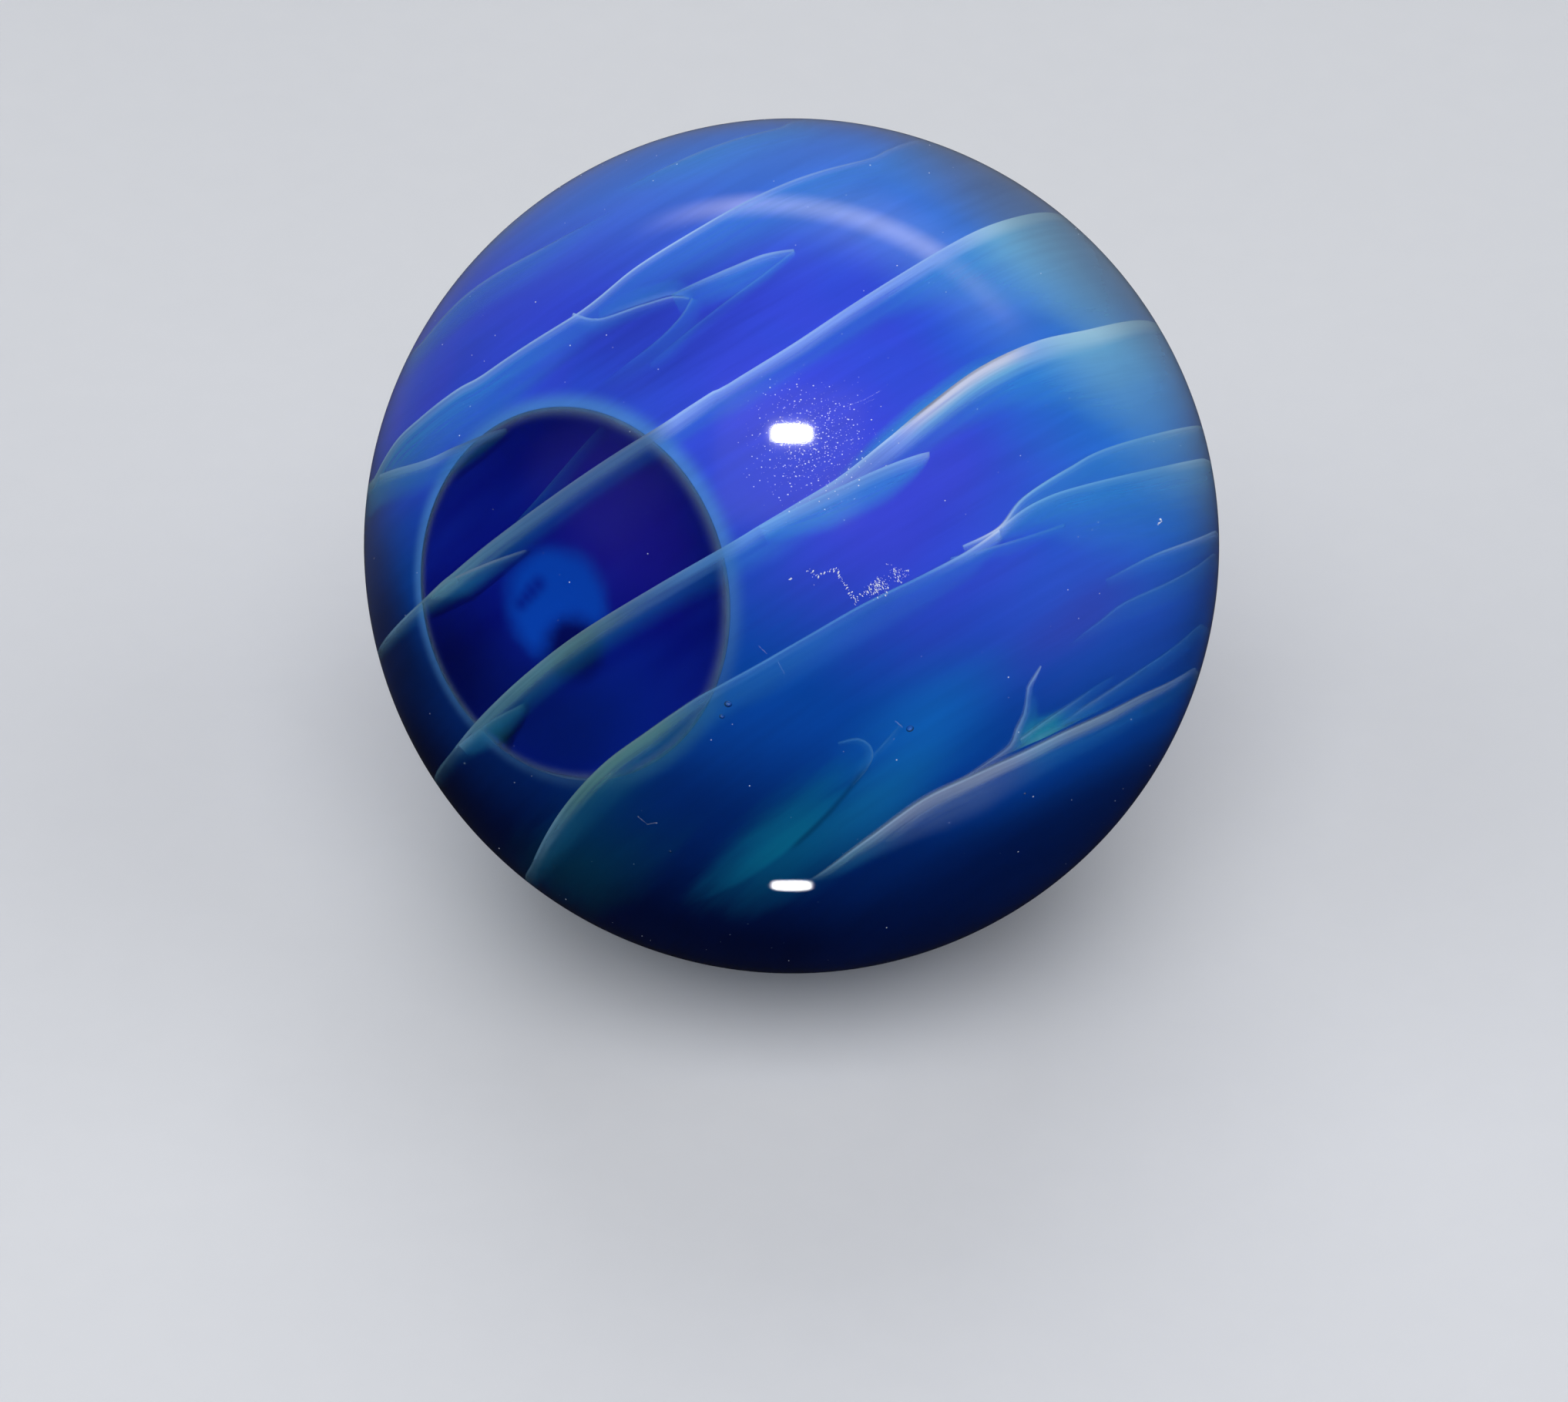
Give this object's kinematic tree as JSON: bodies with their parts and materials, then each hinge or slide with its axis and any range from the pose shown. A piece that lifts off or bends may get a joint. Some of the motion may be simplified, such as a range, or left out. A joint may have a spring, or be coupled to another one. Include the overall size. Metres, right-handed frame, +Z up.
{
  "type": "glass marble",
  "caption": "Solid glass marble: clear casing over a blue body with pale wound veils and a round dark window under the polished surface.",
  "frame": {"origin": "centre of the ball", "axes": "+Z up as the marble sits in the picture, -Y towards the viewer, +X to the viewer's right"},
  "size_m": [0.022, 0.022, 0.022],
  "materials": {
    "clear_glass": "polished",
    "pale_veil_glass": "opal",
    "blue_glass": "opal",
    "dark_glass": "clear and deep"
  },
  "bodies": {
    "root": {"clear_casing": "clear_glass", "pale_veils": "pale_veil_glass", "blue_body": "blue_glass", "dark_window": "dark_glass"}
  },
  "joints": []
}
